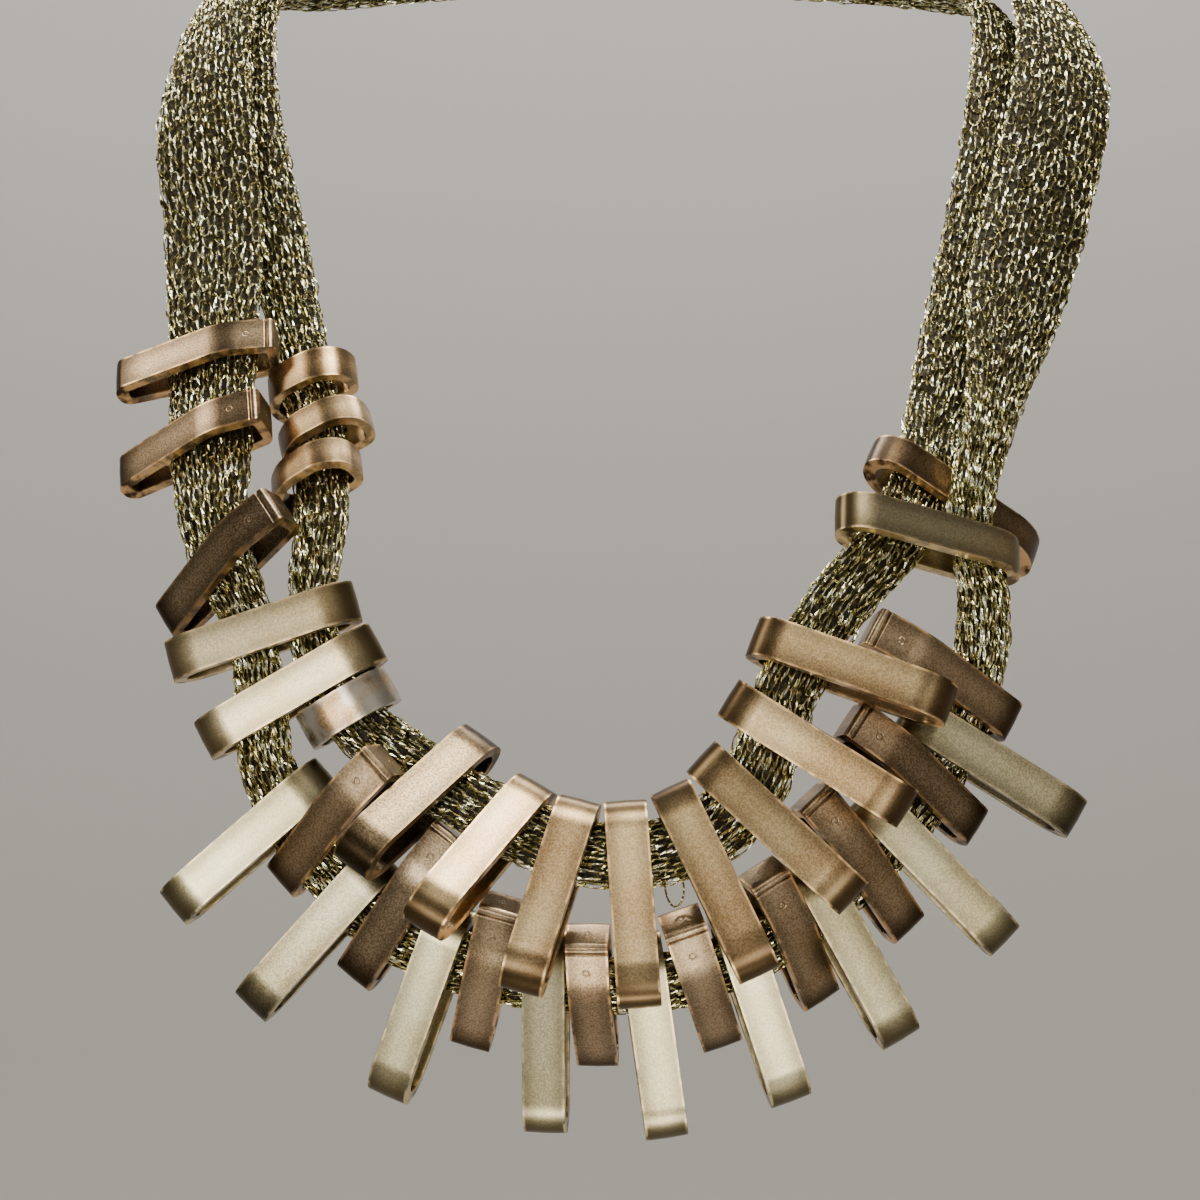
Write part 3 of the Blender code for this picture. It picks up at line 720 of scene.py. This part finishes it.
def core_material():
    """Shadowed inside of the knit, seen through its holes."""
    nodes = Nodes("knit_inside")
    world = nodes.add("ShaderNodeTexCoord").outputs["Object"]
    glints = nodes.between(nodes.noise(world, scale=900, detail=3.0, rough=0.7), low=0.45, high=0.7)
    # Near-black painted shade of the tube's inside, a little lighter in patches
    nodes.join(nodes.mix(glints, *SHADED_INSIDE_TONES), nodes.shader.inputs["Base Color"])
    nodes.shader.inputs["Metallic"].default_value = 0.6
    nodes.shader.inputs["Roughness"].default_value = 0.55
    yarns = nodes.noise(world, scale=1300)
    nodes.join(nodes.bump(yarns, strength=1.0, distance=0.3 * MM), nodes.shader.inputs["Normal"])
    return nodes.material


def clasp_material():
    """Satin plated metal of the clasp."""
    nodes = Nodes("clasp_metal")
    world = nodes.add("ShaderNodeTexCoord").outputs["Object"]
    speckle = nodes.noise(world, scale=2200)
    nodes.join(nodes.mix(speckle, *CLASP_TONES), nodes.shader.inputs["Base Color"])
    nodes.shader.inputs["Metallic"].default_value = 1.0
    nodes.shader.inputs["Roughness"].default_value = 0.34
    nodes.join(nodes.bump(speckle, strength=0.4, distance=0.03 * MM), nodes.shader.inputs["Normal"])
    return nodes.material


def link_pattern(name, kind):
    """Finished casting of one kind, lying at the origin, from which its links are copied."""
    curve = bpy.data.curves.new(name, "CURVE")
    curve.dimensions = "2D"
    curve.fill_mode = "BOTH"
    curve.extrude = kind.band / 2
    for outline in (kind.outer, kind.inner):
        spline = curve.splines.new("POLY")
        spline.points.add(len(outline) - 1)
        for point, place in zip(spline.points, outline):
            point.co = (place.x, place.y, 0, 1)
        spline.use_cyclic_u = True
    pattern = bpy.data.objects.new(name, curve)
    bpy.context.scene.collection.objects.link(pattern)
    select_only(pattern)
    bpy.ops.object.convert(target="MESH")
    pattern = bpy.context.object
    bpy.ops.object.mode_set(mode="EDIT")
    bpy.ops.mesh.select_all(action="SELECT")
    bpy.ops.mesh.remove_doubles(threshold=MERGE_GAP)
    bpy.ops.mesh.select_all(action="SELECT")
    bpy.ops.mesh.bisect(plane_co=(0, 0, 0), plane_no=(0, 0, 1))
    bpy.ops.mesh.select_all(action="SELECT")
    bpy.ops.mesh.normals_make_consistent(inside=False)
    bpy.ops.object.mode_set(mode="OBJECT")
    raise_parting_line(pattern.data, kind)
    rims = pattern.modifiers.new("rims", "BEVEL")
    rims.width = RIM_ROUND
    rims.segments = 3
    rims.limit_method = "ANGLE"
    rims.angle_limit = math.radians(60)
    finish_modifiers(pattern)
    bpy.ops.object.shade_smooth_by_angle(angle=math.radians(48))
    weighted = pattern.modifiers.new("normals", "WEIGHTED_NORMAL")
    weighted.keep_sharp = True
    finish_modifiers(pattern)
    mesh = pattern.data
    places = np.empty(len(mesh.vertices) * 3)
    mesh.vertices.foreach_get("co", places)
    attribute = mesh.attributes.new("cast_place", "FLOAT_VECTOR", "POINT")
    attribute.data.foreach_set("vector", places)
    return pattern


def raise_parting_line(mesh, kind):
    """Lifts the middle of the band's outer face into the faint ridge where the mould parts."""
    outer = np.array([tuple(point) for point in kind.outer])
    for vertex in mesh.vertices:
        if abs(vertex.co.z) > MERGE_GAP:
            continue
        apart = np.hypot(outer[:, 0] - vertex.co.x, outer[:, 1] - vertex.co.y).min()
        if apart < OUTLINE_GAP:
            normal = vertex.normal.copy()
            normal.z = 0
            vertex.co += normal.normalized() * PARTING_RISE


def coat_for(link):
    """Material of one link: its family's coat, darkened as painted shade on some castings and worn on one.
    """
    family = link.name.split("_")[0]
    name = family + "_coat"
    coat = COATS[family]
    worn = 0.0
    if link.name == WORN_LINK:
        name = "worn_coat"
        worn = WORN_SHARE
    # Painted shade: a darkened copy of the coat on these links
    if link.name in SHADE_DIMMED_LINKS:
        name = link.name.replace("link", "coat")
        coat = dimmed(coat, SHADE_DIMMED_LINKS[link.name])
    return bpy.data.materials.get(name) or coat_material(name, coat, KINDS[link.kind], worn)


def hang_links(tubes):
    """Copies each casting to its place on its tube."""
    patterns = {name: link_pattern(name + "_pattern", kind) for name, kind in KINDS.items()}
    for link in LINKS:
        pattern = patterns[link.kind]
        piece = bpy.data.objects.new(link.name.replace("link", "casting"), pattern.data.copy())
        bpy.context.scene.collection.objects.link(piece)
        piece.data.transform(hung(link, KINDS[link.kind], tubes[link.tube]))
        piece.data.materials.append(coat_for(link))
        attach(piece, "root")
        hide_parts(link.name)
    for pattern in patterns.values():
        bpy.data.objects.remove(pattern, do_unlink=True)


def sampled(tube):
    """Sections along a tube as arrays, for stitches to be laid on."""
    count = int(tube.length / SAMPLE_STEP)
    lengths = np.linspace(0, tube.length, count + 1)
    sections = [tube.section(length) for length in lengths]
    columns = [np.array([tuple(getattr(section, field)) for section in sections])
               for field in ("place", "front", "across")]
    columns += [np.array([getattr(section, field) for section in sections])
                for field in ("half_width", "half_thickness")]
    return lengths, columns


def interpolated(lengths, column, at):
    """Values of one column of the samples at any lengths."""
    if column.ndim == 1:
        return np.interp(at, lengths, column)
    return np.stack([np.interp(at, lengths, column[:, k]) for k in range(3)], -1)


def on_tube(tube_samples, at, turn, out):
    """Points of a flat oval tube by length, turn round it and distance out of it, and its normals."""
    lengths, columns = tube_samples
    place, front, across, half_width, half_thickness = (
        interpolated(lengths, column, at) for column in columns)
    side = half_width * np.cos(turn)
    face = half_thickness * np.sin(turn)
    normal = (across * (np.cos(turn) * half_thickness)[..., None]
              + front * (np.sin(turn) * half_width)[..., None])
    normal /= np.linalg.norm(normal, axis=-1, keepdims=True)
    return place + across * side[..., None] + front * face[..., None] + normal * out[..., None], normal


def even_turns(share, ratio):
    """Turn round a flat oval at each share of its rim, so that stitches lie evenly."""
    fine = np.linspace(0, 2 * np.pi, RIM_SAMPLES)
    step = np.hypot(np.sin(fine), ratio * np.cos(fine))
    reach = np.concatenate([[0], np.cumsum((step[1:] + step[:-1]) / 2)])
    return np.interp(share % 1.0, reach / reach[-1], fine)


def stray(random, courses, wales, count):
    """Smooth random wander of each course's yarn, from -1 to 1."""
    knots_round = wales * STRAY_KNOTS
    knots = random.uniform(-1, 1, (courses, knots_round))
    at = np.linspace(0, knots_round, count, endpoint=False)
    low = at.astype(int)
    part = at - low
    part = part * part * (3 - 2 * part)
    following = (low + 1) % knots_round
    return knots[:, low] * (1 - part) + knots[:, following] * part


def stitches(tube_samples, length, wales, seed):
    """Yarn of every course of one tube: closed rows of loops, as points and normals."""
    random = np.random.default_rng(seed)
    courses = int(length / COURSE) - 1
    count = wales * LOOP_STEPS
    phase = np.linspace(0, 2 * np.pi * wales, count, endpoint=False)
    share = (phase / (2 * np.pi) + LOOP_SWAY * np.sin(2 * phase)) / wales
    rise = -np.cos(phase) * LOOP_REACH * COURSE
    bulge = -np.cos(2 * phase) * LOOP_BULGE
    middle = (np.arange(courses) + 1.0) * length / (courses + 1)
    at = middle[:, None] + rise[None, :] + stray(random, courses, wales, count) * STITCH_STRAY
    at = np.clip(at, 0, length)
    wander = stray(random, courses, wales, count) * STITCH_STRAY
    half_width = interpolated(tube_samples[0], tube_samples[1][3], middle)
    half_thickness = interpolated(tube_samples[0], tube_samples[1][4], middle)
    turn = np.empty((courses, count))
    for k in range(courses):
        rim = 4 * half_width[k] + 2 * half_thickness[k]
        offset = random.uniform(-COURSE_TURN, COURSE_TURN) / wales
        turn[k] = even_turns(share + offset + wander[k] / rim, half_thickness[k] / half_width[k])
    out = bulge[None, :] - STITCH_SINK + stray(random, courses, wales, count) * STITCH_STRAY / 2
    return on_tube(tube_samples, at, turn, out)


def yarn_mesh(name, points, normals, wide, thick, seed):
    """Flat twisted yarn swept along closed rows of points, as one mesh."""
    random = np.random.default_rng(seed)
    rows, count, _ = points.shape
    tangent = np.roll(points, -1, 1) - np.roll(points, 1, 1)
    tangent /= np.linalg.norm(tangent, axis=-1, keepdims=True)
    side = np.cross(tangent, normals)
    side /= np.linalg.norm(side, axis=-1, keepdims=True)
    up = np.cross(side, tangent)
    twist = np.arange(count)[None, :] * YARN_TWIST + random.uniform(0, 2 * np.pi, (rows, 1))
    twist = twist + np.sin(twist * TWIST_BEAT) * TWIST_SWAY
    turned = twist[..., None]
    flat = side * np.cos(turned) + up * np.sin(turned)
    thin = up * np.cos(turned) - side * np.sin(turned)
    corners = np.stack([points + flat * wide, points + thin * thick,
                        points - flat * wide, points - thin * thick], 2)
    verts = corners.reshape(-1, 3)
    index = np.arange(rows * count * 4).reshape(rows, count, 4)
    following = np.roll(index, -1, 1)
    quads = np.stack([index, np.roll(index, -1, 2), np.roll(following, -1, 2), following], -1)
    quads = quads.reshape(-1, 4)
    mesh = bpy.data.meshes.new(name)
    mesh.from_pydata(verts.tolist(), [], quads.tolist())
    return mesh


def add_piece(mesh, material, node):
    """Makes a mesh a piece of its own that stands for a node."""
    piece = bpy.data.objects.new(mesh.name, mesh)
    bpy.context.scene.collection.objects.link(piece)
    mesh.materials.append(material)
    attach(piece, "root")
    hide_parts(node)


def knit_tube(name, tube, wales, pieces, seed):
    """Dresses one tube: an inside painted dark as its shade and the rows of loops over it, in a few pieces.
    """
    samples = sampled(tube)
    points, normals = stitches(samples, tube.length, wales, seed)
    yarn = bpy.data.materials.get("metal_yarn") or yarn_material()
    shares = zip(np.array_split(points, pieces), np.array_split(normals, pieces))
    for k, (some, their_normals) in enumerate(shares):
        mesh = yarn_mesh(f"{name}_knit_{k + 1}", some, their_normals, YARN_WIDE, YARN_THICK, seed + k)
        add_piece(mesh, yarn, name + "_tube")
    core = core_mesh(name + "_inside", samples, tube.length)
    inside = bpy.data.materials.get("knit_inside") or core_material()
    add_piece(core, inside, name + "_tube")


def pulled_loop():
    """Yarn pulled out of the inner tube's lower edge, hanging as one long loop."""
    stops = np.array(PULLED_LOOP) * MM
    shares = np.arange(PULLED_STEPS) / PULLED_STEPS * len(stops)
    low = shares.astype(int)
    part = (shares - low)[:, None]
    before, near, far, after = (stops[(low + k) % len(stops)] for k in (-1, 0, 1, 2))
    points = 0.5 * (2 * near + (far - before) * part + (2 * before - 5 * near + 4 * far - after) * part ** 2
                    + (3 * near - before - 3 * far + after) * part ** 3)
    normals = np.broadcast_to(np.array([0.0, -1.0, 0.0]), points.shape)
    thick = YARN_WIDE * PULLED_THICK
    mesh = yarn_mesh("inner_pulled_loop", points[None], normals[None], thick, thick, seed=5)
    add_piece(mesh, bpy.data.materials["metal_yarn"], "inner_tube")


def core_mesh(name, samples, length):
    """Closed skin a little inside the stitches."""
    count = int(length / CORE_STEP)
    at = np.repeat(np.linspace(0, length, count)[:, None], CORE_SIDES, 1)
    turn = np.repeat(np.linspace(0, 2 * np.pi, CORE_SIDES, endpoint=False)[None, :], count, 0)
    points, _ = on_tube(samples, at, turn, np.full(at.shape, -CORE_SINK))
    index = np.arange(count * CORE_SIDES).reshape(count, CORE_SIDES)
    near = np.roll(index, -1, 1)
    quads = np.stack([index[:-1], near[:-1], near[1:], index[1:]], -1).reshape(-1, 4).tolist()
    ends = [index[0].tolist()[::-1], index[-1].tolist()]
    mesh = bpy.data.meshes.new(name)
    mesh.from_pydata(points.reshape(-1, 3).tolist(), [], quads + ends)
    mesh.shade_smooth()
    return mesh


def dress_clasp():
    """Plain block of the clasp with rounded edges."""
    bpy.ops.mesh.primitive_cube_add(size=1, location=(0, CLASP_DEPTH / 2, 0))
    clasp = bpy.context.object
    clasp.name = "clasp_block"
    clasp.dimensions = (CLASP_LENGTH, CLASP_DEPTH, CLASP_HEIGHT)
    bpy.ops.object.transform_apply(location=True, rotation=True, scale=True)
    edges = clasp.modifiers.new("edges", "BEVEL")
    edges.width = CLASP_ROUND
    edges.segments = 5
    finish_modifiers(clasp)
    bpy.ops.object.shade_smooth_by_angle(angle=math.radians(40))
    clasp.data.materials.append(clasp_material())
    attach(clasp, "root")
    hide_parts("clasp")


def add_floor():
    """Pale floor that sweeps up all round."""
    low = cad_low.z - FLOOR_DROP
    turns = [math.pi / 2 * step / FLOOR_STEPS for step in range(FLOOR_STEPS + 1)]
    profile = [(FLOOR_RADIUS - FLOOR_BEND + FLOOR_BEND * math.sin(turn),
                low + FLOOR_BEND - FLOOR_BEND * math.cos(turn)) for turn in turns]
    profile.append((FLOOR_RADIUS, FLOOR_TOP))
    angles = [2 * math.pi * side / FLOOR_SIDES for side in range(FLOOR_SIDES)]
    verts = [(radius * math.cos(angle), radius * math.sin(angle) + FLOOR_MIDDLE_Y, z)
             for radius, z in profile for angle in angles]
    faces = [tuple(range(FLOOR_SIDES))]
    for row in range(len(profile) - 1):
        lower = FLOOR_SIDES * row
        upper = lower + FLOOR_SIDES
        for side in range(FLOOR_SIDES):
            following = (side + 1) % FLOOR_SIDES
            faces.append((lower + side, upper + side, upper + following, lower + following))
    mesh = bpy.data.meshes.new("pale_floor")
    mesh.from_pydata(verts, [], faces)
    mesh.shade_smooth()
    floor = bpy.data.objects.new("pale_floor", mesh)
    bpy.context.scene.collection.objects.link(floor)
    nodes = Nodes("pale_floor")
    nodes.shader.inputs["Base Color"].default_value = FLOOR_TONE
    nodes.shader.inputs["Roughness"].default_value = 0.9
    mesh.materials.append(nodes.material)


def add_light(light):
    """One soft rectangular light of the table."""
    data = bpy.data.lights.new(light.name, "AREA")
    data.shape = "RECTANGLE"
    data.size, data.size_y = light.size
    data.energy = light.power
    data.color = light.colour
    lamp = bpy.data.objects.new(light.name, data)
    lamp.location = light.place
    lamp.rotation_euler = (Vector(light.aim) - Vector(light.place)).to_track_quat("-Z", "Y").to_euler()
    bpy.context.scene.collection.objects.link(lamp)


def light_room():
    """Faint light from all round, and the lights of the table."""
    world = bpy.data.worlds.new("soft_room")
    bpy.context.scene.world = world
    world.use_nodes = True
    background = world.node_tree.nodes["Background"]
    background.inputs["Color"].default_value = ROOM_TONE
    background.inputs["Strength"].default_value = ROOM_STRENGTH
    for light in LIGHTS:
        add_light(light)


def add_camera():
    """Camera that looks straight along +Y from the front."""
    data = bpy.data.cameras.new("camera")
    data.lens = CAMERA_LENS
    data.sensor_width = CAMERA_SENSOR
    data.sensor_fit = "HORIZONTAL"
    data.clip_start = 0.01
    camera = bpy.data.objects.new("camera", data)
    camera.location = CAMERA_PLACE
    camera.rotation_euler = (math.radians(90), 0, 0)
    bpy.context.scene.collection.objects.link(camera)
    bpy.context.scene.camera = camera


KINDS = {"long": long_kind(), "wedge": wedge_kind(), "short": short_kind()}

tubes = {
    "inner": Tube(seated(INNER_ROUTE, INNER_SEAT)),
    "outer": Tube(seated(OUTER_ROUTE, OUTER_SEAT)),
}
hang_links(tubes)
knit_tube("inner", tubes["inner"], INNER_WALES, pieces=2, seed=11)
knit_tube("outer", tubes["outer"], OUTER_WALES, pieces=3, seed=23)
pulled_loop()
dress_clasp()
add_floor()
light_room()
add_camera()
